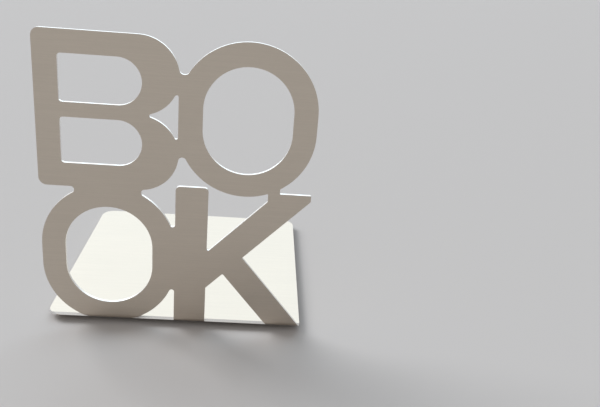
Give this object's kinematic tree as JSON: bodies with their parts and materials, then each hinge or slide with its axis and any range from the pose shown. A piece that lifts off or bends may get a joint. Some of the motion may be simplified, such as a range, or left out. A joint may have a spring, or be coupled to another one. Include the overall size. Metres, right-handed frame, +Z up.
{
  "type": "bookend",
  "caption": "Bookend cut and bent from one satin steel sheet, its upright cut out as the letters of the word BOOK, with foam pads stuck under the base",
  "frame": {"origin": "On the ground, under the middle of the whole object's bounding box", "axes": "+X to the right seen from the front, +Y from the letters' front face to the back, +Z up"},
  "size_m": [0.1338, 0.136, 0.1542],
  "materials": {
    "satin_steel": "satin, fine grain",
    "black_foam": "matt closed-cell foam",
    "adhesive_film": "milky double-sided film"
  },
  "bodies": {
    "root": {"bent_sheet": "satin_steel", "pad_front_left": "black_foam", "pad_front_right": "black_foam", "pad_back_left": "black_foam", "pad_back_right": "black_foam", "film_front_left": "adhesive_film", "film_front_right": "adhesive_film", "film_back_left": "adhesive_film", "film_back_right": "adhesive_film"}
  },
  "joints": []
}
